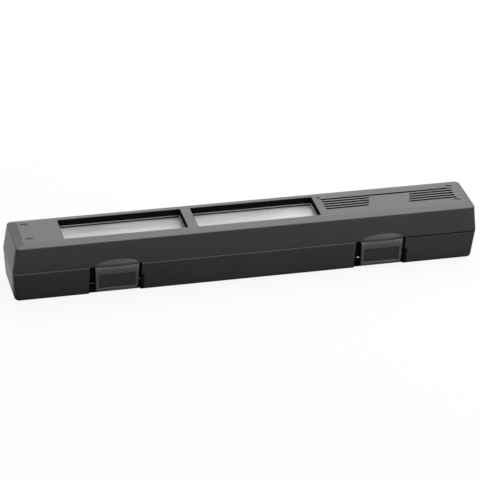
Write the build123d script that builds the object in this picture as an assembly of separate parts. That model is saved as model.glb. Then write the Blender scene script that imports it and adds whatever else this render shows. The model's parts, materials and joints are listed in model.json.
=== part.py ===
from build123d import *
import math
import os

# Closed case, millimetres. X runs along the case, Y from front to back, Z up.
# The origin is the middle of the underside.
case_length = 560.0
case_width = 68.0
base_height = 37.5
lid_height = 34.5
case_height = base_height + lid_height
parting_gap = 0.3
base_rim_z = base_height - parting_gap / 2
lid_rim_z = base_height + parting_gap / 2

# Shell walls, drafts and rounded edges
wall = 2.6
floor_thickness = 2.8
top_thickness = 2.6
plan_radius = 6.0
base_end_inset = 3.0
base_side_inset = 1.0
lid_end_inset = 3.9
lid_side_inset = 1.9
bottom_round = 4.5
rim_round = 0.5
bevel_drop = 3.0
bevel_end_width = 10.5
bevel_side_width = 8.5
top_radius = 2.0
shoulder_round = 1.2
bevel_round = 0.8
overcut = 1.0

# Tongue on the base that locates the lid
lip_height = 2.4
lip_thickness = 1.3
lip_clearance = 0.4
lip_root = 4.0

# Windows in the lid and the bar between them, which is a little left of the middle
window_end_inset = 61.8
window_bar_width = 12.4
window_bar_shift = -1.2
window_width = 42.0
window_radius = 1.5
window_edge_round = 0.5
skirt_depth = 10.5
skirt_thickness = 2.0

# Clear panes under the windows
pane_thickness = 1.5
pane_rim_height = 2.5
pane_rim_thickness = 1.4
pane_rim_clearance = 0.2
pane_end_flange = 11.3
pane_side_flange = 5.5
pane_radius = 3.0
pane_meeting_gap = 0.8

# Screws that hold the panes, and the bosses they turn into
screw_radius = 1.25
screw_length = 6.0
screw_head_radius = 3.4
screw_head_height = 1.9
screw_head_round = 0.5
screw_slot_width = 0.9
screw_slot_depth = 0.9
screw_slot_length = 4.2
pilot_clearance = 0.05
screw_hole_clearance = 0.35
boss_radius = 3.0
boss_from_window = 7.3
boss_spread = 33.6
bar_boss_spread = 26.0

# Grooved panel on the lid, right of the windows, with a bare plate in it
groove_count = 5
groove_pitch = 5.4
groove_width = 2.9
groove_depth = 2.0
groove_length = 162.6
groove_end_inset = 20.7
groove_from_window = 9.3
groove_centre_y = 2.0
plate_length = 49.8
plate_from_groove = 53.3
plate_lean = 1.9
backing_thickness = 1.8
backing_margin = 4.0

# Shallow round marks in the lid's top
mark_depth = 0.7
end_mark_radius = 4.2
end_mark_inset = 22.0
end_mark_spread = 32.0
boss_mark_radius = 2.6

# Latches and the pockets they lie in
latch_end_inset = 120.0
latch_shift = 1.6
latch_width = 51.5
latch_taper = 1.2
latch_bottom_z = 4.4
latch_top_gap = 0.35
latch_proud = 0.8
latch_thickness = 2.5
latch_roll_depth = 3.0
latch_roll_height = 8.0
latch_corner_radius = 2.5
latch_lip_height = 2.1
latch_lip_slope = 1.0
latch_edge_round = 0.8
panel_side_rim = 4.2
panel_bottom_rim = 3.6
panel_height = 19.5
panel_depth = 0.9
panel_slope = 2.6
pocket_width = 61.5
pocket_depth = 6.0
pivot_inset = 3.0
pivot_z = 14.7
latch_pin_radius = 1.25
hub_clearance = 0.4
hub_side_inset = 2.5
hub_web = 4.4

# Catch on the lid that the latch's lip closes on
catch_width = 40.0
catch_bar_height = 3.5
catch_thickness = 1.6
catch_clearance = 0.4
catch_drop = 6.2
ridge_radius = 0.6
ridge_from_tip = 1.0
visor_half_length = 39.0
visor_radius = 11.5
visor_proud = 2.8

# Hinges on the back
hinge_end_inset = 90.0
hinge_count = 3
hinge_axis_proud = 0.0
hinge_pin_radius = 1.25
knuckle_radius = 2.8
base_knuckle_width = 12.0
lid_knuckle_width = 22.0
knuckle_side_gap = 0.3
knuckle_clearance = 0.4
gusset_reach = 7.5

# Fits of the steel pins: snug in the base, free in what turns on them
snug_fit = 0.03
running_fit = 0.06

# Foam cradles that carry the wrench, and the pads in the lid
foam_clearance = 0.4
foam_top_z = 36.0
foam_radius = 2.0
handle_trough_width = 38.0
handle_trough_end_inset = 28.0
handle_trough_z = 10.0
shaft_trough_width = 24.0
shaft_trough_z = 16.0
head_bay_radius = 25.0
head_bay_end_inset = 54.0
head_bay_z = 8.0
handle_end_foam_reach = 80.0
handle_foam_length = 56.0
handle_foam_from_latch = 42.0
shaft_foam_length = 60.0
shaft_foam_from_latch = 80.0
head_foam_reach = 82.0
pad_width = 45.0
pad_low_z = 52.0
left_pad_length = 31.0
left_pad_end_inset = 16.0
right_pad_length = 62.0
right_pad_end_inset = 18.0
pad_radius = 3.0
pad_groove_radius = 17.0
pad_groove_depth = 6.0

# Places that follow from the sizes above
shoulder_z = case_height - bevel_drop
shoulder_length = case_length - 2 * lid_end_inset
shoulder_width = case_width - 2 * lid_side_inset
top_length = shoulder_length - 2 * bevel_end_width
top_width = shoulder_width - 2 * bevel_side_width
under_top_z = case_height - top_thickness
skirt_z = case_height - skirt_depth
pane_low_z = skirt_z - pane_thickness
groove_right_x = case_length / 2 - groove_end_inset
groove_left_x = groove_right_x - groove_length
plate_left_x = groove_left_x + plate_from_groove
plate_right_x = plate_left_x + plate_length
window_left_x = -case_length / 2 + window_end_inset
window_right_x = groove_left_x - groove_from_window
bar_x = (window_left_x + window_right_x) / 2 + window_bar_shift
hinge_y = case_width / 2 + hinge_axis_proud
latch_top_z = lid_rim_z - latch_top_gap
latch_outer_y = -case_width / 2 - latch_proud
latch_inner_y = latch_outer_y + latch_thickness
pocket_back_y = -case_width / 2 + pocket_depth
pivot_y = -case_width / 2 + pivot_inset
catch_back_y = pocket_back_y - catch_clearance
catch_front_y = catch_back_y - catch_thickness
catch_tip_z = lid_rim_z - catch_drop
ridge_y = catch_front_y - ridge_radius
ridge_z = catch_tip_z + ridge_from_tip
# The ridge's furthest reach to the front as the lid turns about its hinge
ridge_swing_y = hinge_y - math.hypot(hinge_y - ridge_y, base_height - ridge_z)
latch_lip_y = ridge_swing_y - latch_top_gap
hub_radius = pocket_back_y - pivot_y - hub_clearance
pin_bore_radius = latch_pin_radius + snug_fit
latch_bore_radius = latch_pin_radius + running_fit
left_window = (window_left_x, bar_x - window_bar_width / 2)
right_window = (bar_x + window_bar_width / 2, window_right_x)
latch_place = case_length / 2 - latch_end_inset
pocket_centres = (-latch_place, latch_place)
hinge_reach = case_length / 2 - hinge_end_inset
hinge_centres = [hinge_reach * (2 * i / (hinge_count - 1) - 1) for i in range(hinge_count)]
handle_end_right_x = -case_length / 2 + handle_end_foam_reach
handle_trough_left_x = -case_length / 2 + handle_trough_end_inset
handle_foam_left_x = -latch_place + handle_foam_from_latch
handle_foam_right_x = handle_foam_left_x + handle_foam_length
shaft_foam_right_x = latch_place - shaft_foam_from_latch
shaft_foam_left_x = shaft_foam_right_x - shaft_foam_length
head_foam_left_x = case_length / 2 - head_foam_reach
head_bay_x = case_length / 2 - head_bay_end_inset
left_pad_left_x = -case_length / 2 + left_pad_end_inset
left_pad_right_x = left_pad_left_x + left_pad_length
right_pad_right_x = case_length / 2 - right_pad_end_inset
right_pad_left_x = right_pad_right_x - right_pad_length
backing_z = case_height - groove_depth - backing_thickness


def rounded_slab(length, width, radius, z_low, z_high, x_centre=0.0, y_centre=0.0):
    """A plate with rounded upright corners between two heights."""
    outline = Pos(x_centre, y_centre, z_low) * RectangleRounded(length, width, radius)
    return extrude(outline, z_high - z_low)


def box_between(x_low, x_high, y_low, y_high, z_low, z_high):
    """A plain block given by its faces."""
    corner = Pos(x_low, y_low, z_low)
    block = Box(x_high - x_low, y_high - y_low, z_high - z_low, align=(Align.MIN, Align.MIN, Align.MIN))
    return corner * block


def tapered_block(low_size, z_low, high_size, z_high, low_radius, high_radius):
    """A block whose four sides lean, between two rounded rectangles."""
    low = Pos(0, 0, z_low) * RectangleRounded(*low_size, low_radius)
    high = Pos(0, 0, z_high) * RectangleRounded(*high_size, high_radius)
    return loft([low, high], ruled=True)


def rod(radius, x_low, x_high, y, z):
    """A round bar along X."""
    return Pos(x_low, y, z) * extrude(Plane.YZ * Circle(radius), x_high - x_low)


def bar_along_x(points, x_low, x_high):
    """A bar along X with a cross-section given by (y, z) points."""
    section = Plane.YZ * Polygon(*points, align=None)
    return Pos(x_low, 0, 0) * extrude(section, x_high - x_low, dir=(1, 0, 0))


def base_size(z, inset=0.0):
    """Length and width of the base's outside at a height, less an inset all round."""
    lean = 1 - z / base_rim_z
    return (
        case_length - 2 * (base_end_inset * lean + inset),
        case_width - 2 * (base_side_inset * lean + inset),
    )


def lid_size(z, inset=0.0):
    """Length and width of the lid's outside below its shoulder, less an inset all round."""
    lean = (z - lid_rim_z) / (shoulder_z - lid_rim_z)
    return (
        case_length - 2 * (lid_end_inset * lean + inset),
        case_width - 2 * (lid_side_inset * lean + inset),
    )


def knuckle(x_centre, width, side):
    """A hinge knuckle with a gusset that runs down, or up, into its own shell's wall."""
    foot_y = -hinge_axis_proud - wall / 2
    foot_z = side * gusset_reach
    reach = math.hypot(foot_y, foot_z)
    tangent = math.atan2(foot_z, foot_y) - side * math.acos(knuckle_radius / reach)
    touch = (knuckle_radius * math.cos(tangent), knuckle_radius * math.sin(tangent))
    points = [(0, 0), touch, (foot_y, foot_z), (foot_y, 0)]
    moved = [(hinge_y + y, base_height + z) for y, z in points]
    low = x_centre - width / 2
    high = x_centre + width / 2
    return rod(knuckle_radius, low, high, hinge_y, base_height) + bar_along_x(moved, low, high)


def base_knuckle_centres(x):
    """The two base knuckles stand either side of the lid's."""
    step = (lid_knuckle_width + base_knuckle_width) / 2 + knuckle_side_gap
    return (x - step, x + step)


def knuckle_room(x_centre, width):
    """The space that a knuckle of the other shell turns in."""
    half = width / 2 + knuckle_side_gap
    return rod(knuckle_radius + knuckle_clearance, x_centre - half, x_centre + half, hinge_y, base_height)


def make_base_shell():
    outer = tapered_block(base_size(0), 0, base_size(base_rim_z), base_rim_z, plan_radius, plan_radius)
    outer = fillet(outer.edges().group_by(Axis.Z)[0], bottom_round)
    outer = fillet(outer.edges().group_by(Axis.Z)[-1], rim_round)
    inner_radius = plan_radius - wall
    cavity = tapered_block(
        base_size(floor_thickness, wall), floor_thickness,
        base_size(base_rim_z + overcut, wall), base_rim_z + overcut,
        inner_radius, inner_radius,
    )
    body = outer - cavity + make_lip()
    for x in pocket_centres:
        body = body + (make_housing(x) & outer)
        body = body - make_pocket(x)
    for x in hinge_centres:
        body = body - knuckle_room(x, lid_knuckle_width)
        for centre in base_knuckle_centres(x):
            body = body + knuckle(centre, base_knuckle_width, -1)
        reach = lid_knuckle_width / 2 + knuckle_side_gap + base_knuckle_width
        body = body - rod(hinge_pin_radius + snug_fit, x - reach, x + reach, hinge_y, base_height)
    return body


def make_lip():
    """The tongue that stands inside the lid's rim, on a thicker band of the wall."""
    outer_inset = wall + lip_clearance
    inner_inset = outer_inset + lip_thickness
    outer_size = base_size(base_rim_z, outer_inset)
    inner_size = base_size(base_rim_z, inner_inset)
    band_size = base_size(base_rim_z, wall / 2)
    low = base_rim_z - lip_root
    high = base_rim_z + lip_height
    band = rounded_slab(*band_size, plan_radius - wall / 2, low, base_rim_z)
    tongue = rounded_slab(*outer_size, plan_radius - outer_inset, base_rim_z, high)
    hole = rounded_slab(*inner_size, plan_radius - inner_inset, low - overcut, high + overcut)
    return band + tongue - hole


def make_housing(x):
    """The block of the base's front wall that a latch pocket is cut from."""
    half = pocket_width / 2 + wall
    return box_between(x - half, x + half, -case_width / 2, pocket_back_y + wall, 0, base_rim_z)


def make_pocket(x):
    """The pocket for a latch, open to the front, the top and the underside, with its pin holes."""
    half = pocket_width / 2
    high = base_rim_z + lip_height + overcut
    room = box_between(x - half, x + half, -case_width, pocket_back_y, -overcut, high)
    return room + rod(pin_bore_radius, x - half - wall, x + half + wall, pivot_y, pivot_z)


def make_lid_shell():
    outer = tapered_block(
        lid_size(lid_rim_z), lid_rim_z, lid_size(shoulder_z), shoulder_z, plan_radius, plan_radius
    )
    crown = tapered_block(
        lid_size(shoulder_z), shoulder_z, (top_length, top_width), case_height, plan_radius, top_radius
    )
    outer = fillet(outer.edges().group_by(Axis.Z)[0], rim_round)
    body = outer + crown
    body = fillet(body.edges().filter_by(lambda e: abs(e.center().Z - case_height) < bevel_round), bevel_round)
    body = fillet(body.edges().filter_by(lambda e: abs(e.center().Z - shoulder_z) < bevel_round), shoulder_round)
    body = body - make_lid_cavity()
    body = body + make_backing()
    for x_low, x_high in (left_window, right_window):
        body = body + make_skirt(x_low, x_high)
    for x, y in boss_places():
        body = body + Pos(x, y, skirt_z) * extrude(Circle(boss_radius), under_top_z - skirt_z + overcut)
    for x_low, x_high in (left_window, right_window):
        body = body - make_window_hole(x_low, x_high)
    for x, y in boss_places():
        body = body - Pos(x, y, skirt_z) * extrude(Circle(screw_radius + pilot_clearance), screw_length)
    for groove in make_grooves():
        body = body - groove
    for mark in make_marks():
        body = body - mark
    for x in pocket_centres:
        body = body + make_visor(x + latch_shift) + make_catch(x + latch_shift)
    for x in hinge_centres:
        for centre in base_knuckle_centres(x):
            body = body - knuckle_room(centre, base_knuckle_width)
        body = body + knuckle(x, lid_knuckle_width, 1)
        reach = lid_knuckle_width / 2
        body = body - rod(hinge_pin_radius + running_fit, x - reach, x + reach, hinge_y, base_height)
    return body


def make_lid_cavity():
    """The lid's inside: leaning walls, then a bevel that keeps the top's thickness."""
    inner_radius = plan_radius - wall
    inner_shoulder_z = shoulder_z - top_thickness + overcut / 2
    lower = tapered_block(
        lid_size(lid_rim_z - overcut, wall), lid_rim_z - overcut,
        lid_size(inner_shoulder_z, wall), inner_shoulder_z,
        inner_radius, inner_radius,
    )
    upper = tapered_block(
        lid_size(inner_shoulder_z, wall), inner_shoulder_z,
        (top_length, top_width), under_top_z,
        inner_radius, top_radius,
    )
    return lower + upper


def make_skirt(x_low, x_high):
    """The wall that hangs from the top round a window, down to the pane."""
    length = x_high - x_low + 2 * skirt_thickness
    width = window_width + 2 * skirt_thickness
    radius = window_radius + skirt_thickness
    return rounded_slab(length, width, radius, skirt_z, case_height - top_thickness / 2, (x_low + x_high) / 2)


def make_window_hole(x_low, x_high):
    """The opening itself, with a slightly eased top edge."""
    centre = (x_low + x_high) / 2
    hole = rounded_slab(x_high - x_low, window_width, window_radius, skirt_z - overcut, case_height, centre)
    eased = window_edge_round
    flare = loft([
        Pos(centre, 0, case_height - eased) * RectangleRounded(x_high - x_low, window_width, window_radius),
        Pos(centre, 0, case_height) * RectangleRounded(
            x_high - x_low + 2 * eased, window_width + 2 * eased, window_radius + eased
        ),
    ], ruled=True)
    return hole + flare


def boss_places():
    """Screw bosses: outside each outer window end, and in the bar between the windows."""
    places = []
    for side in (-1, 1):
        places.append((window_left_x - boss_from_window, side * boss_spread / 2))
        places.append((bar_x, side * bar_boss_spread / 2))
        places.append((window_right_x + boss_from_window, side * boss_spread / 2))
    return places


def make_backing():
    """A thicker patch under the grooves, so that they don't weaken the top."""
    return box_between(
        groove_left_x - backing_margin, groove_right_x + backing_margin,
        -pad_width / 2, pad_width / 2, backing_z, under_top_z + overcut / 2,
    )


def make_grooves():
    """Long grooves; all but the rearmost stop at a bare plate in the middle."""
    grooves = []
    for index in range(groove_count):
        y = groove_centre_y + (index - (groove_count - 1) / 2) * groove_pitch
        if index == groove_count - 1:
            runs = [(groove_left_x, groove_right_x)]
        else:
            lean = index * plate_lean
            runs = [(groove_left_x, plate_left_x + lean), (plate_right_x + lean, groove_right_x)]
        for x_low, x_high in runs:
            slot = Pos((x_low + x_high) / 2, y, case_height - groove_depth) * SlotOverall(
                x_high - x_low, groove_width
            )
            grooves.append(extrude(slot, groove_depth + overcut))
    return grooves


def make_marks():
    """Shallow round marks near the lid's ends and above the outer bosses."""
    marks = []
    for side in (-1, 1):
        for end in (-1, 1):
            x = end * (case_length / 2 - end_mark_inset)
            y = side * end_mark_spread / 2
            marks.append(Pos(x, y, case_height - mark_depth) * extrude(Circle(end_mark_radius), overcut))
    x = window_right_x + boss_from_window
    y = boss_spread / 2
    marks.append(Pos(x, y, case_height - mark_depth) * extrude(Circle(boss_mark_radius), overcut))
    return marks


def make_visor(x):
    """The lens-shaped bulge over a latch that gives a fingertip room."""
    upper = Pos(0, visor_radius / 2) * Rectangle(2 * visor_half_length, visor_radius)
    lens = revolve(Ellipse(visor_half_length, visor_radius) & upper, Axis.X, 360)
    lens = Pos(x, -case_width / 2 - visor_proud + visor_radius, lid_rim_z) * lens
    reach = visor_half_length + overcut
    front = box_between(
        x - reach, x + reach, -case_width, -case_width / 2 + wall / 2, lid_rim_z, lid_rim_z + visor_radius + overcut
    )
    return lens & front


def make_catch(x):
    """A tab with a ridge that hangs from the lid behind the latch's lip."""
    half = catch_width / 2
    bar = box_between(
        x - half, x + half, -case_width / 2 + wall / 2, catch_back_y, lid_rim_z, lid_rim_z + catch_bar_height
    )
    tab = box_between(x - half, x + half, catch_front_y, catch_back_y, catch_tip_z, lid_rim_z + overcut)
    ridge = rod(ridge_radius, x - half, x + half, catch_front_y, ridge_z)
    return bar + tab + ridge


def make_window(x_low, x_high, meets_left, meets_right):
    """A clear pane: a plate under the skirt with a low rim that stands in the opening."""
    left = bar_x + pane_meeting_gap / 2 if meets_left else x_low - pane_end_flange
    right = bar_x - pane_meeting_gap / 2 if meets_right else x_high + pane_end_flange
    centre = (x_low + x_high) / 2
    width = window_width + 2 * pane_side_flange
    plate = rounded_slab(right - left, width, pane_radius, pane_low_z, skirt_z, (left + right) / 2)
    gap = 2 * pane_rim_clearance
    bore = gap + 2 * pane_rim_thickness
    rim_high = skirt_z + pane_rim_height
    rim = rounded_slab(
        x_high - x_low - gap, window_width - gap, window_radius, skirt_z, rim_high, centre
    )
    well = rounded_slab(
        x_high - x_low - bore, window_width - bore, window_radius, skirt_z, rim_high + overcut, centre
    )
    pane = plate + rim - well
    for x, y in boss_places():
        hole = Circle(screw_radius + screw_hole_clearance)
        pane = pane - Pos(x, y, pane_low_z - overcut) * extrude(hole, pane_thickness + 2 * overcut)
    return pane


def make_screw(x, y):
    """A washer-head screw with a cross slot, its head under the pane."""
    shank = extrude(Circle(screw_radius), pane_thickness + screw_length - overcut)
    head = Pos(0, 0, -screw_head_height) * extrude(Circle(screw_head_radius), screw_head_height)
    head = fillet(head.edges().group_by(Axis.Z)[0], screw_head_round)
    screw = head + shank
    for turn in (0, 90):
        slot = Rot(0, 0, turn) * Box(screw_slot_length, screw_slot_width, screw_slot_depth)
        screw = screw - Pos(0, 0, -screw_head_height + screw_slot_depth / 2) * slot
    return Pos(x, y, pane_low_z) * screw


def make_latch(x):
    """A plastic latch: a plate with a raised rim, a rolled top with a lip, and a hub on its pin."""
    half = latch_width / 2
    lip_low_z = latch_top_z - latch_lip_height
    plate = bar_along_x([
        (latch_outer_y, latch_bottom_z),
        (latch_outer_y, latch_top_z),
        (latch_lip_y, latch_top_z),
        (latch_lip_y, lip_low_z),
        (latch_inner_y, lip_low_z - latch_lip_slope),
        (latch_inner_y, latch_bottom_z),
    ], -half, half)
    plate = plate - make_latch_roll(half)
    front = plate.edges().filter_by(Axis.X).group_by(Axis.Y)[0]
    plate = fillet(front.group_by(Axis.Z)[0], latch_edge_round)
    plate = plate & make_latch_outline()
    panel_low = latch_bottom_z + panel_bottom_rim
    panel_high = panel_low + panel_height
    panel_y = latch_outer_y + panel_depth
    panel_half = half - panel_side_rim
    plate = plate - bar_along_x([
        (latch_outer_y - overcut, panel_low),
        (latch_outer_y, panel_low),
        (panel_y, panel_low + panel_depth),
        (panel_y, panel_high - panel_slope),
        (latch_outer_y, panel_high),
        (latch_outer_y - overcut, panel_high),
    ], -panel_half, panel_half)
    hub_half = half - hub_side_inset
    web = bar_along_x([
        (latch_inner_y - latch_edge_round, pivot_z + hub_web),
        (pivot_y, pivot_z + hub_radius),
        (pivot_y, pivot_z - hub_radius),
        (latch_inner_y - latch_edge_round, pivot_z - hub_web),
    ], -hub_half, hub_half)
    latch = plate + web + rod(hub_radius, -hub_half, hub_half, pivot_y, pivot_z)
    latch = latch - rod(latch_bore_radius, -half, half, pivot_y, pivot_z)
    return Pos(x, 0, 0) * latch


def make_latch_roll(half):
    """What the latch's rolled top leaves off its upper front corner."""
    roll_y = latch_outer_y + latch_roll_depth
    roll_z = latch_top_z - latch_roll_height
    corner = box_between(-half, half, latch_outer_y - overcut, roll_y, roll_z, latch_top_z + overcut)
    curve = Plane.YZ * Pos(roll_y, roll_z) * Ellipse(latch_roll_depth, latch_roll_height)
    return corner - Pos(-half, 0, 0) * extrude(curve, 2 * half, dir=(1, 0, 0))


def make_latch_outline():
    """Front view of a latch: a little narrower at the bottom, with rounded lower corners."""
    half = latch_width / 2
    outline = Polygon(
        (-half, latch_top_z + overcut),
        (-half + latch_taper, latch_bottom_z),
        (half - latch_taper, latch_bottom_z),
        (half, latch_top_z + overcut),
        align=None,
    )
    outline = fillet(outline.vertices().group_by(Axis.Y)[0], latch_corner_radius)
    return extrude(Plane.XZ * outline, case_width, both=True)


def make_latch_pin(x):
    """A steel pin through the pocket's two side walls."""
    half = pocket_width / 2 + wall
    return rod(latch_pin_radius, x - half, x + half, pivot_y, pivot_z)


def make_hinge_pin(x):
    """A steel pin through one hinge's three knuckles."""
    half = lid_knuckle_width / 2 + knuckle_side_gap + base_knuckle_width
    return rod(hinge_pin_radius, x - half, x + half, hinge_y, base_height)


def make_cradle(x_low, x_high):
    """A plain foam block across the base, bonded to its floor."""
    width = case_width - 2 * (wall + lip_clearance + lip_thickness + foam_clearance)
    return rounded_slab(
        x_high - x_low, width, foam_radius, floor_thickness, foam_top_z, (x_low + x_high) / 2
    )


def make_trough(x_low, x_high, width, z_low):
    """A straight channel along a cradle, open at the top."""
    return box_between(x_low, x_high, -width / 2, width / 2, z_low, foam_top_z + overcut)


def foam_end():
    """How far the end cradles reach: to the base's end walls, less their clearance."""
    return base_size(floor_thickness, wall + foam_clearance)[0] / 2


def make_handle_end_foam():
    """The cradle at the left end, whose trough stops the end of the wrench's handle."""
    block = make_cradle(-foam_end(), handle_end_right_x)
    high = handle_end_right_x + overcut
    return block - make_trough(handle_trough_left_x, high, handle_trough_width, handle_trough_z)


def make_handle_foam():
    block = make_cradle(handle_foam_left_x, handle_foam_right_x)
    low = handle_foam_left_x - overcut
    high = handle_foam_right_x + overcut
    return block - make_trough(low, high, handle_trough_width, handle_trough_z)


def make_shaft_foam():
    block = make_cradle(shaft_foam_left_x, shaft_foam_right_x)
    low = shaft_foam_left_x - overcut
    high = shaft_foam_right_x + overcut
    return block - make_trough(low, high, shaft_trough_width, shaft_trough_z)


def make_head_foam():
    """The cradle at the right end, with a round bay for the wrench's head."""
    block = make_cradle(head_foam_left_x, foam_end())
    bay = Pos(head_bay_x, 0, head_bay_z) * extrude(Circle(head_bay_radius), foam_top_z)
    return block - make_trough(head_foam_left_x - overcut, head_bay_x, shaft_trough_width, shaft_trough_z) - bay


def make_lid_pad(x_low, x_high, high):
    """A foam pad under the lid's top, with a round groove that presses on the wrench."""
    pad = rounded_slab(x_high - x_low, pad_width, pad_radius, pad_low_z, high, (x_low + x_high) / 2)
    groove_z = pad_low_z + pad_groove_depth - pad_groove_radius
    return pad - rod(pad_groove_radius, x_low - overcut, x_high + overcut, 0, groove_z)


def save(node, shape):
    export_step(shape, "parts/" + node + ".step")


os.makedirs("parts", exist_ok=True)
save("base_shell", make_base_shell())
save("lid_shell", make_lid_shell())
save("left_window", make_window(*left_window, False, True))
save("right_window", make_window(*right_window, True, False))
save("window_screws", Compound([make_screw(x, y).solid() for x, y in boss_places()]))
save("handle_end_foam", make_handle_end_foam())
save("handle_foam", make_handle_foam())
save("shaft_foam", make_shaft_foam())
save("head_foam", make_head_foam())
save("lid_pad_left", make_lid_pad(left_pad_left_x, left_pad_right_x, under_top_z))
save("lid_pad_right", make_lid_pad(right_pad_left_x, right_pad_right_x, backing_z))
for side, x in zip(("left", "right"), pocket_centres):
    save(side + "_latch", make_latch(x + latch_shift))
    save(side + "_latch_pin", make_latch_pin(x))
for side, x in zip(("left", "middle", "right"), hinge_centres):
    save(side + "_hinge_pin", make_hinge_pin(x))
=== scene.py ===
# %% [markdown]
# A long, narrow moulded case for a torque wrench, seen from its latch side.
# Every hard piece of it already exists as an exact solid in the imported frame, so this
# lesson loads that frame, gives each piece the finish of the real one, makes the foam
# lining as soft shapes, and lights and photographs the result.

# %% Load the frame
import json
import math
import bpy
from mathutils import Matrix, Vector

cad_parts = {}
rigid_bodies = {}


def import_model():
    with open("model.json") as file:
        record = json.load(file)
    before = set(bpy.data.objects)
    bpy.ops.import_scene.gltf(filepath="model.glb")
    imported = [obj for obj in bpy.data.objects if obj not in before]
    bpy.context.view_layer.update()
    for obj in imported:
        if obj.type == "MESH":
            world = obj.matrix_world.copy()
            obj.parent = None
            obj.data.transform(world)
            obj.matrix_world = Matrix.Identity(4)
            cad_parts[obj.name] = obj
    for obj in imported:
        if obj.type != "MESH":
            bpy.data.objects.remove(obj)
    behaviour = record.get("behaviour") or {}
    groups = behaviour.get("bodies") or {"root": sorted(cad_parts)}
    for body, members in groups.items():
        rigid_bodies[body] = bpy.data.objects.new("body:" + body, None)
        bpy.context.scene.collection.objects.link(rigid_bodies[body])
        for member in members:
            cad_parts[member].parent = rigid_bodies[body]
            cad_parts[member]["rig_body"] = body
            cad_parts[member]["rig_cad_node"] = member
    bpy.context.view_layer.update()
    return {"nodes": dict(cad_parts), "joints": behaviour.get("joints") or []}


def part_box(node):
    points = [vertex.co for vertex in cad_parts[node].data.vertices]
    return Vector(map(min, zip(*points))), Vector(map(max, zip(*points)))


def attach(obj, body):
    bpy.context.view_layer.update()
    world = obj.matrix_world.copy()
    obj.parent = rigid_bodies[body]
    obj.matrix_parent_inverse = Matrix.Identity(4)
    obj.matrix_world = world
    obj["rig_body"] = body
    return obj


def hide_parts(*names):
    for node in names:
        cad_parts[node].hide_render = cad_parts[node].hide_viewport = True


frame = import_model()
nodes = frame["nodes"]
print("nodes:", sorted(nodes))

# %% [markdown]
# The finishes below are found on a piece by their place: a groove, a pocket, the seam.
# Most of those places come from the frame, so that they stay right if the case changes.
# The lid's hinge lies at the height of the seam, and the base's rim is just below it.

# %% Places on the case
joint_places = {joint["name"]: joint["pos_m"] for joint in frame["joints"]}
seam_z = joint_places["lid_hinge"][2]
rim_z = seam_z - 0.0007
top_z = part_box("lid_shell")[1][2]
latch_places = [sum(corner[0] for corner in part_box(name)) / 2 for name in ("left_latch", "right_latch")]
left_pane, right_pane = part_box("left_window"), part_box("right_window")
pane_low_z, pane_high_z = left_pane[0][2], left_pane[1][2]
print("seam at z", round(seam_z, 4), "latches at x", [round(x, 4) for x in latch_places])

# %% [markdown]
# Shader maths is easier to read as ordinary sums than as boxes and wires. The small class
# below wraps one socket, so that an expression such as `1 - mask * 0.4` adds the Math nodes
# it needs.

# %% A socket that does arithmetic
class Wire:
    """One output of a shader node, which can be added, multiplied and compared."""

    def __init__(self, recipe, socket):
        self.recipe = recipe
        self.socket = socket

    def math(self, operation, *values):
        return self.recipe.node("ShaderNodeMath", {"operation": operation}, values)

    def __add__(self, other):
        return self.math("ADD", self, other)

    def __sub__(self, other):
        return self.math("SUBTRACT", self, other)

    def __mul__(self, other):
        return self.math("MULTIPLY", self, other)

    def __rsub__(self, other):
        return self.math("SUBTRACT", other, self)

    __radd__ = __add__
    __rmul__ = __mul__

    def between(self, low, high, new_low=0.0, new_high=1.0):
        """Stretches low..high to new_low..new_high and stops at both ends."""
        inputs = {"Value": self, "From Min": low, "From Max": high, "To Min": new_low, "To Max": new_high}
        return self.recipe.node("ShaderNodeMapRange", {"clamp": True}, inputs, "Result")

    def near(self, middle, reach):
        """1 where the value lies within reach of the middle, 0 elsewhere."""
        return self.math("LESS_THAN", self.math("ABSOLUTE", self - middle), reach)

    def inside(self, low, high):
        """1 where the value lies between low and high, 0 elsewhere."""
        return self.near((low + high) / 2, (high - low) / 2)

# %% [markdown]
# A second class stands for one material while it is made. Its `node` method adds any other
# node from its type, its settings and its inputs, and the rest are short names for the
# patterns that all finishes here are made of: noise, pits, a blend of colours and a bump.
# A Mix node has sockets for every kind of value under the same names, so its colour
# sockets are picked by number. Most of a noise lies in a narrow span round one half, so
# a finish stretches that span.

# %% A material under construction
first_colour, second_colour, mixed_colour = 6, 7, 2
noise_span, middle_span = (0.3, 0.7), (0.35, 0.65)


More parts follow.
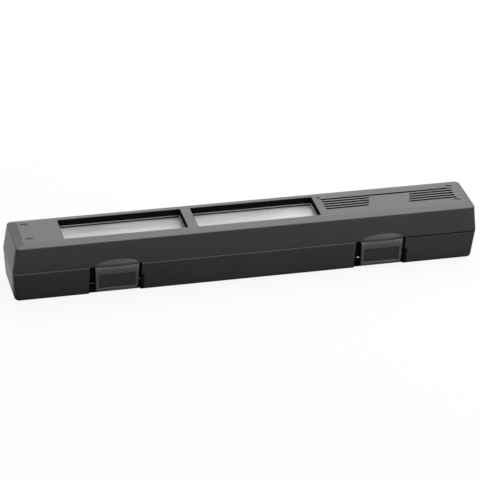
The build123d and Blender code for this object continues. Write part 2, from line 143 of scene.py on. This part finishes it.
class Recipe:
    """A material's node tree, its shader and the piece's own coordinates in metres."""

    def __init__(self, name, **constants):
        self.material = bpy.data.materials.new(name)
        self.material.use_nodes = True
        self.tree = self.material.node_tree
        self.shader = self.tree.nodes["Principled BSDF"]
        for socket, value in constants.items():
            self.shader.inputs[socket.replace("_", " ")].default_value = value

    def node(self, kind, settings=None, inputs=(), output=0):
        """Adds a node, sets it up, joins its inputs and gives back one of its outputs."""
        made = self.tree.nodes.new(kind)
        for key, value in (settings or {}).items():
            setattr(made, key, value)
        pairs = inputs.items() if isinstance(inputs, dict) else enumerate(inputs)
        for key, value in pairs:
            if isinstance(value, Wire):
                self.tree.links.new(value.socket, made.inputs[key])
            else:
                made.inputs[key].default_value = value
        return Wire(self, made.outputs[output])

    def place(self, scale=(1, 1, 1)):
        """A point of the piece, stretched by scale."""
        point = self.node("ShaderNodeTexCoord", output="Object")
        return self.node("ShaderNodeMapping", {}, {"Vector": point, "Scale": scale})

    def axis(self, name):
        """The point's X, Y or Z."""
        return self.node("ShaderNodeSeparateXYZ", {}, {"Vector": self.place()}, name)

    def noise(self, size, detail, stretch=(1, 1, 1), roughness=0.5):
        """Smooth random values from 0 to 1 with features of about that size."""
        inputs = {"Vector": self.place(stretch), "Scale": 1 / size, "Detail": detail, "Roughness": roughness}
        return self.node("ShaderNodeTexNoise", {}, inputs, "Fac")

    def pits(self, size):
        """Distance to the nearest of many scattered points."""
        inputs = {"Vector": self.place(), "Scale": 1 / size}
        return self.node("ShaderNodeTexVoronoi", {}, inputs, "Distance")

    def blend(self, mask, low, high):
        """One colour where the mask is 0 and another where it is 1."""
        inputs = {"Factor": mask, first_colour: low, second_colour: high}
        return self.node("ShaderNodeMix", {"data_type": "RGBA"}, inputs, mixed_colour)

    def bump(self, height, depth):
        """Bends the surface's light as if height rose by that depth."""
        return self.node("ShaderNodeBump", {}, {"Height": height, "Distance": depth}, "Normal")

    def mixed_with(self, other, share):
        """Puts another shader in this one's place where its share is 1."""
        own = Wire(self, self.shader.outputs["BSDF"])
        mix = self.node("ShaderNodeMixShader", {}, (share, own, other), "Shader")
        self.tree.links.new(mix.socket, self.tree.nodes["Material Output"].inputs["Surface"])

    def feed(self, **wires):
        """Joins wires to the shader and gives back the finished material."""
        for socket, wire in wires.items():
            self.tree.links.new(wire.socket, self.shader.inputs[socket.replace("_", " ")])
        return self.material


def finish_nodes(material, *names):
    """Gives the named pieces this material and no other."""
    for name in names:
        slots = nodes[name].data.materials
        slots.clear()
        slots.append(material)
    print(material.name, "on", ", ".join(names))

# %% [markdown]
# Light hardly reaches the grooves, the wells over the windows, the latch pockets and the
# right end of the seam, so shade is painted there: a near-black shader without gloss takes
# over. They could be painted by hand, but each lies at a known place, so a mask finds it
# there: below the top face within the groove panel or a window opening, behind the front
# wall beside a latch, or where lid and base meet. An opening is taken a hair wider than it
# is, so that its walls belong to it.

# %% Sheltered places with painted shade
pane_end_flange, pane_side_flange = 0.0113, 0.0055
groove_from_window, groove_length = 0.0093, 0.1626
groove_middle_y, groove_reach_y = 0.002, 0.0123
pocket_front_y, pocket_back_y, pocket_reach_x = -0.0336, -0.0264, 0.0325
seam_reach_z, seam_pale_x, seam_dark_x = 0.0009, 0.13, 0.19
hair, rim_fade = 0.0002, 0.0004

windows_left_x = left_pane[0][0] + pane_end_flange
windows_right_x = right_pane[1][0] - pane_end_flange
groove_left_x = windows_right_x + groove_from_window
well_x = (windows_left_x - hair, windows_right_x + hair)
well_y = (left_pane[0][1] + pane_side_flange - hair, left_pane[1][1] - pane_side_flange + hair)
groove_x = (groove_left_x - hair, groove_left_x + groove_length + hair)


def sheltered(recipe):
    """1 where light hardly reaches the shells and shade is painted, 0 elsewhere."""
    x, y, z = (recipe.axis(name) for name in "XYZ")
    # The masks below mark painted shade: grooves, window wells, latch pockets and the seam's right end.
    under_top = 1 - z.between(top_z - hair * 1.5, top_z - hair * 0.5)
    over_panes = z.between(pane_low_z + hair, pane_low_z + hair * 2)
    grooves = x.inside(*groove_x) * y.near(groove_middle_y, groove_reach_y)
    openings = grooves + x.inside(*well_x) * y.inside(*well_y)
    in_pocket = y.inside(pocket_front_y, pocket_back_y) * (1 - z.between(rim_z, rim_z + rim_fade))
    beside_latch = sum(x.near(place, pocket_reach_x) for place in latch_places)
    seam = z.near(seam_z, seam_reach_z) * x.between(seam_pale_x, seam_dark_x)
    return openings * under_top * over_panes + in_pocket * beside_latch + seam


print("windows between x", [round(x, 4) for x in well_x], "grooves between", [round(x, 4) for x in groove_x])

# %% [markdown]
# The shells are black polypropylene from a spark-eroded mould. Such a surface isn't
# truly black or even: it has a very fine grain that spreads highlights, a coarser pebble
# that shows most on the top, and faint cloudy patches where it was handled. Two noise
# bumps give the grain and the pebble, and slow noise in the roughness the patches.
# The base's rim is painted a little paler along its rounded top edge, a painted highlight
# where it catches the light. In the sheltered places a near-black shader without gloss
# takes over, as painted shade.

# %% Black grained plastic
shell_black = (0.022, 0.0225, 0.023)
handled_share = 0.88
rim_highlight_grey = (0.085, 0.086, 0.087, 1)
painted_shade_settings = {"Base Color": (0.004, 0.004, 0.004, 1), "Roughness": 1.0, "Specular IOR Level": 0.1}
shell_roughness, cloud_roughness, handling_roughness = 0.42, 0.03, 0.04
grain_share, pebble_shares, grain_depth = 0.3, (0.35, 1.1), 0.0005
pebble_low_z, pebble_high_z = top_z - 0.0040, top_z - 0.0026
rim_highlight_reach = 0.0006


def moulded_plastic():
    recipe = Recipe("shell_plastic", Specular_IOR_Level=0.72)
    grain = recipe.noise(0.0007, 3.0, roughness=0.6)
    pebble = recipe.noise(0.0018, 2.0)
    clouds = recipe.noise(0.09, 3.0, (0.5, 1, 1))
    handling = recipe.noise(0.012, 4.0, (0.3, 1, 1))
    shelter = sheltered(recipe)
    height = recipe.axis("Z")
    coarse = height.between(pebble_low_z, pebble_high_z, *pebble_shares)
    # The base's rim just below the seam is painted paler: a painted highlight.
    wear_and_highlight = height.near(rim_z, rim_highlight_reach) * (1 - shelter)
    handled = tuple(c * handled_share for c in shell_black)
    plain = recipe.blend(clouds.between(*middle_span), (*handled, 1), (*shell_black, 1))
    glossy, dull = shell_roughness - cloud_roughness, shell_roughness + cloud_roughness
    # Where shade is painted, a near-black shader without gloss takes over.
    recipe.mixed_with(recipe.node("ShaderNodeBsdfPrincipled", {}, painted_shade_settings, "BSDF"), shelter)
    return recipe.feed(
        Base_Color=recipe.blend(wear_and_highlight, plain, rim_highlight_grey),
        Roughness=clouds.between(*noise_span, glossy, dull) + handling * handling_roughness,
        Normal=recipe.bump(grain * grain_share + pebble * coarse, grain_depth),
    )


finish_nodes(moulded_plastic(), "base_shell", "lid_shell")

# %% [markdown]
# Each latch is a separate moulding. Its sunk panel has a rougher texture than the smooth rim
# round it, and it is painted much darker as painted shade in its recess. The panel lies behind
# the rim's face and below a known height, which is enough to find it from the coordinates alone.

# %% Latch plastic with a painted-shade panel
latch_front_y, latch_low_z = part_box("left_latch")[0][1:]
panel_bottom_rim, panel_height = 0.0036, 0.0195
panel_top_z = latch_low_z + panel_bottom_rim + panel_height
rim_grey, panel_shade_black = (0.062, 0.0625, 0.063, 1), (0.010, 0.0105, 0.011, 1)


def latch_finish():
    recipe = Recipe("latch_plastic", Specular_IOR_Level=0.7)
    behind_face = recipe.axis("Y").between(latch_front_y + 0.0002, latch_front_y + 0.0007)
    above_panel = recipe.axis("Z").between(panel_top_z - 0.0007, panel_top_z + 0.0001)
    panel = behind_face * (1 - above_panel)
    grain = recipe.noise(0.0006, 3.0, roughness=0.6)
    clouds = recipe.noise(0.03, 3.0)
    wear_and_highlight = recipe.noise(0.006, 4.0, (0.3, 1, 1))
    # The sunk panel is painted much darker than the rim: painted shade.
    return recipe.feed(
        Base_Color=recipe.blend(panel, rim_grey, panel_shade_black),
        Roughness=0.36 + clouds * 0.06 + wear_and_highlight * 0.05 + panel * 0.16,
        Normal=recipe.bump(grain, 0.00004),
    )


finish_nodes(latch_finish(), "left_latch", "right_latch")

# %% [markdown]
# The windows are milky clear plastic: light comes back from them as a soft grey glow,
# with a gloss on top. Most of what is seen is the pane's own haze, so it is a pale
# plastic that lets only a little of the dark inside through, with long soft streaks.
# Towards the right and the back the pane is painted paler, as painted light: a painted
# reflection to the right, and at the back light painted over the shadow of the well's wall.
# The low rim round each pane is painted dark, as painted shade, for an upright edge of
# clear plastic looks dark.

# %% Hazy window plastic
darkest_haze, palest_haze = (0.33, 0.332, 0.334, 1), (0.62, 0.622, 0.624, 1)
pane_rim_shade_black = (0.03, 0.03, 0.03, 1)
painted_light_left_x, painted_light_right_x = -0.22, 0.09
painted_light_front_y, painted_light_back_y = -0.004, 0.018
pane_rim_low_z, pane_rim_fade, waviness = pane_low_z + 0.0018, 0.0002, 0.0004


def window_plastic():
    recipe = Recipe("window_plastic", Specular_IOR_Level=0.5)
    haze = recipe.noise(0.05, 2.0, (0.45, 1, 1))
    streaks = recipe.noise(0.022, 3.0, (0.3, 1.6, 1)).between(*middle_span)
    scuffs = recipe.noise(0.004, 5.0, (0.15, 1, 1))
    # Painted light: the pane is painted paler towards the right and the back.
    painted_light_rightward = recipe.axis("X").between(painted_light_left_x, painted_light_right_x)
    painted_light_backward = recipe.axis("Y").between(painted_light_front_y, painted_light_back_y)
    wavy_height = recipe.axis("Z") + haze * waviness
    # The upright rim round the pane is painted dark: painted shade.
    above_plate = wavy_height.between(pane_rim_low_z, pane_rim_low_z + pane_rim_fade)
    shaded_pane_rim = above_plate * (1 - wavy_height.between(pane_high_z - pane_rim_fade, pane_high_z))
    haze_and_painted_light = haze * 0.3 + streaks * 0.35 + painted_light_rightward * 0.3 + painted_light_backward * 0.45
    milky = recipe.blend(haze_and_painted_light, darkest_haze, palest_haze)
    return recipe.feed(
        Base_Color=recipe.blend(shaded_pane_rim, milky, pane_rim_shade_black),
        Roughness=scuffs.between(*noise_span, 0.16, 0.26),
        Alpha=haze.between(*noise_span, 0.88, 0.94),
        Normal=recipe.bump(haze, 0.0003),
    )


finish_nodes(window_plastic(), "left_window", "right_window")

# %% [markdown]
# Hinge pins and screws are plain steel, and the latch pins are blackened. Beside the right
# latch a spot of the pin is painted bright steel, a painted glint that shows as a dot in the
# dark of the pocket.
# Wire is drawn through a die, which leaves fine scratches along its length, so the
# noise here is squeezed along X.

# %% Drawn steel
painted_glint_grey = (0.75, 0.75, 0.76, 1)
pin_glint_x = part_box("right_latch")[0][0] - 0.0022
pin_glint_reach = 0.0010
bluish = 1.02
roughness_spread, scratch_depth = 0.06, 0.00001


def drawn_steel(name, low, high, gloss, glint_x=None):
    recipe = Recipe(name, Metallic=1.0)
    scratches = recipe.noise(0.0005, 3.0, (0.03, 1, 1))
    dark, pale = (low, low, low * bluish, 1), (high, high, high * bluish, 1)
    base = recipe.blend(scratches.between(*noise_span), dark, pale)
    # A spot of the pin is painted bright steel: a painted glint.
    if glint_x is not None:
        base = recipe.blend(recipe.axis("X").near(glint_x, pin_glint_reach), base, painted_glint_grey)
    return recipe.feed(
        Base_Color=base,
        Roughness=scratches.between(*noise_span, gloss - roughness_spread, gloss + roughness_spread),
        Normal=recipe.bump(scratches, scratch_depth),
    )


finish_nodes(
    drawn_steel("drawn_steel", 0.50, 0.66, 0.30),
    "left_hinge_pin", "middle_hinge_pin", "right_hinge_pin", "window_screws",
)
finish_nodes(drawn_steel("blackened_steel", 0.02, 0.05, 0.40), "left_latch_pin")
finish_nodes(drawn_steel("rubbed_steel", 0.02, 0.05, 0.40, pin_glint_x), "right_latch_pin")

# %% [markdown]
# The lining is black closed-cell foam. Seen close, its cut faces show tiny open
# bubbles, so scattered points make pits, painted darker as painted shade inside the
# bubbles, and the colour is a little greyer than the plastic.

# %% Black foam
pit_shade_black, foam_grey = (0.012, 0.012, 0.013, 1), (0.034, 0.034, 0.036, 1)


def closed_cell_foam():
    recipe = Recipe("closed_cell_foam", Sheen_Weight=0.15, Sheen_Roughness=0.6)
    pits = recipe.pits(0.0016).between(0.0, 0.6)
    mottle = recipe.noise(0.02, 3.0)
    return recipe.feed(
        Base_Color=recipe.blend(pits, pit_shade_black, foam_grey),
        Roughness=mottle.between(*noise_span, 0.86, 0.95),
        Normal=recipe.bump(pits, 0.0003),
    )


foam = closed_cell_foam()
print("made", foam.name)

# %% [markdown]
# Foam is never as sharp as the solid that stands for it: its cut edges ease over. A bevel
# wants even faces, and a mesh made from a solid has long thin triangles instead. So a
# copy of each foam solid is welded, rebuilt from small even cells, and smoothed, which
# rounds every edge alike.

# %% Soft foam pieces
weld_distance = 0.00002
cell_size = 0.0018
smooth_strength, smooth_rounds = 0.5, 3


def loose_copy(source, name):
    """A copy of a CAD piece, with its own mesh and none of the frame's tags."""
    copy = nodes[source].copy()
    copy.data = nodes[source].data.copy()
    copy.name = name
    copy.data.name = name
    copy.parent = None
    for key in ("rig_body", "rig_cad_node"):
        if key in copy:
            del copy[key]
    bpy.context.scene.collection.objects.link(copy)
    bpy.ops.object.select_all(action="DESELECT")
    bpy.context.view_layer.objects.active = copy
    copy.select_set(True)
    return copy


def soften(source, name, body):
    copy = loose_copy(source, name)
    bpy.ops.object.mode_set(mode="EDIT")
    bpy.ops.mesh.select_all(action="SELECT")
    bpy.ops.mesh.remove_doubles(threshold=weld_distance)
    bpy.ops.object.mode_set(mode="OBJECT")
    rebuilt = copy.modifiers.new("cells", "REMESH")
    rebuilt.mode = "VOXEL"
    rebuilt.voxel_size = cell_size
    bpy.ops.object.modifier_apply(modifier="cells")
    eased = copy.modifiers.new("eased", "SMOOTH")
    eased.factor = smooth_strength
    eased.iterations = smooth_rounds
    bpy.ops.object.modifier_apply(modifier="eased")
    for polygon in copy.data.polygons:
        polygon.use_smooth = True
    copy.data.materials.clear()
    copy.data.materials.append(foam)
    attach(copy, body)
    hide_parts(source)
    print(name, len(copy.data.polygons), "faces")


soften("handle_end_foam", "handle_end_cradle", "base")
soften("handle_foam", "handle_cradle", "base")
soften("shaft_foam", "shaft_cradle", "base")
soften("head_foam", "head_cradle", "base")
soften("lid_pad_left", "left_lid_foam", "lid")
soften("lid_pad_right", "right_lid_foam", "lid")

# %% [markdown]
# The case stands on a plain white sheet that fills the picture. A light path tells whether
# a ray comes from the camera or from a gloss, so the sheet can look white without more
# light on the case, and a tenth of it stays paper, which keeps the soft shadow. In the
# case's gloss the sheet glows half as bright far in front and fades towards the case,
# which gives the front walls their slow change of tone, and it is fully white behind.

# %% White sheet
sheet_size, sheet_drop = 12, 0.0002
direct_share = 0.90
front_far_y, front_near_y = -0.28, -0.05
front_far_glow, front_near_glow = 0.50, 0.05
behind_low_y, behind_full_y = -0.034, 0.02


def light_path(recipe, ray):
    """1 for light rays of that kind, 0 for all others."""
    return recipe.node("ShaderNodeLightPath", output=ray)


def seen_directly(recipe):
    """1 for what the camera sees straight or through a clear pane."""
    return light_path(recipe, "Is Camera Ray") + light_path(recipe, "Is Transmission Ray")


def white_sheet():
    recipe = Recipe("white_sheet", Base_Color=(0.8, 0.8, 0.8, 1), Roughness=1.0, Specular_IOR_Level=0.0)
    depth = recipe.axis("Y")
    in_front = depth.between(front_far_y, front_near_y, front_far_glow, front_near_glow)
    behind = depth.between(behind_low_y, behind_full_y)
    mirror = light_path(recipe, "Is Glossy Ray")
    white = recipe.blend(seen_directly(recipe) + mirror * (behind + in_front), (0, 0, 0, 1), (1, 1, 1, 1))
    glow = recipe.node("ShaderNodeEmission", {}, {"Color": white}, "Emission")
    recipe.mixed_with(glow, seen_directly(recipe) * direct_share + mirror)
    return recipe.material


bpy.ops.object.select_all(action="DESELECT")
bpy.ops.mesh.primitive_plane_add(size=sheet_size, location=(0, 0, -sheet_drop))
floor = bpy.context.object
floor.name = "floor"
floor.data.materials.append(white_sheet())
print("white sheet of", sheet_size, "m under the case")

# %% [markdown]
# Beyond the sheet lies the world. It is white to the camera and in a gloss as well, and
# a weak grey light to everything else, so that the shadows don't turn black.

# %% White surroundings
sky_grey = (0.25, 0.25, 0.25, 1)


class Sky(Recipe):
    """The world's own node tree, with its background node as the shader."""

    def __init__(self, name):
        world = bpy.data.worlds.new(name)
        world.use_nodes = True
        bpy.context.scene.world = world
        self.tree = world.node_tree
        self.shader = self.tree.nodes["Background"]


sky = Sky("studio")
sky_seen = seen_directly(sky) + light_path(sky, "Is Glossy Ray")
sky_colour = sky.blend(sky_seen, sky_grey, (1, 1, 1, 1))
sky.tree.links.new(sky_colour.socket, sky.shader.inputs["Color"])
print("white surroundings")

# %% [markdown]
# The top of the case looks mid-grey and its front nearly black, though both are the same
# plastic, because the top mirrors soft light. A weak lamp hangs low behind the case, where
# the flat top mirrors it towards the camera. The strongest hangs overhead, where the front
# bevel mirrors it. Two more in front lift the latches, the visors and the front a little.

# %% Lamps
def soft_lamp(name, place, aim, size, power):
    lamp = bpy.data.lights.new(name, "AREA")
    lamp.shape = "RECTANGLE"
    lamp.size, lamp.size_y = size
    lamp.energy = power
    holder = bpy.data.objects.new(name, lamp)
    bpy.context.scene.collection.objects.link(holder)
    holder.location = place
    direction = Vector(aim) - Vector(place)
    holder.rotation_euler = direction.to_track_quat("-Z", "Y").to_euler()
    print(name, power, "W")


soft_lamp("overhead", (0.35, 0.54, 1.47), (0, 0, 0), (2.0, 1.2), 26)
soft_lamp("back_sheet", (0.80, 1.55, 0.92), (0, 0, 0), (1.8, 0.8), 7)
soft_lamp("front_top", (1.60, -0.75, 1.05), (0, 0, 0), (0.9, 0.6), 12)
soft_lamp("front_low", (0.90, -2.00, 0.60), (0, 0, 0.03), (1.8, 0.6), 7)

# %% [markdown]
# The camera looks down on the case from its left front corner with a long lens. Its place
# was found by matching the case's edges with the picture's, and it is leant by three degrees.

# %% Camera
camera_azimuth = math.radians(-16.52)
camera_elevation = math.radians(30.90)
camera_lean = math.radians(3.22)
camera_distance = 2.845
focal_pixels = 2416.0
picture_pixels = 480.0
shift_pixels = (-2.73, 1.75)
sight_point = Vector((0, 0, 0.032))

across = Vector((math.cos(camera_azimuth), math.sin(camera_azimuth), 0))
back = Vector((
    math.sin(camera_azimuth) * math.cos(camera_elevation),
    -math.cos(camera_azimuth) * math.cos(camera_elevation),
    math.sin(camera_elevation),
))
upward = back.cross(across)
right = across * math.cos(camera_lean) + upward * math.sin(camera_lean)
up = upward * math.cos(camera_lean) - across * math.sin(camera_lean)
turn = Matrix((right, up, back)).transposed().to_4x4()

lens = bpy.data.cameras.new("camera")
lens.sensor_width = 36.0
lens.lens = lens.sensor_width * focal_pixels / picture_pixels
lens.shift_x, lens.shift_y = (shift / picture_pixels for shift in shift_pixels)
lens.clip_start = 0.05
camera = bpy.data.objects.new("camera", lens)
bpy.context.scene.collection.objects.link(camera)
camera.matrix_world = Matrix.Translation(sight_point + back * camera_distance) @ turn
bpy.context.scene.camera = camera
print("camera at", [round(v, 3) for v in camera.matrix_world.translation])

# %% [markdown]
# The Standard view shows each colour as it was written.

bpy.context.scene.view_settings.view_transform = "Standard"
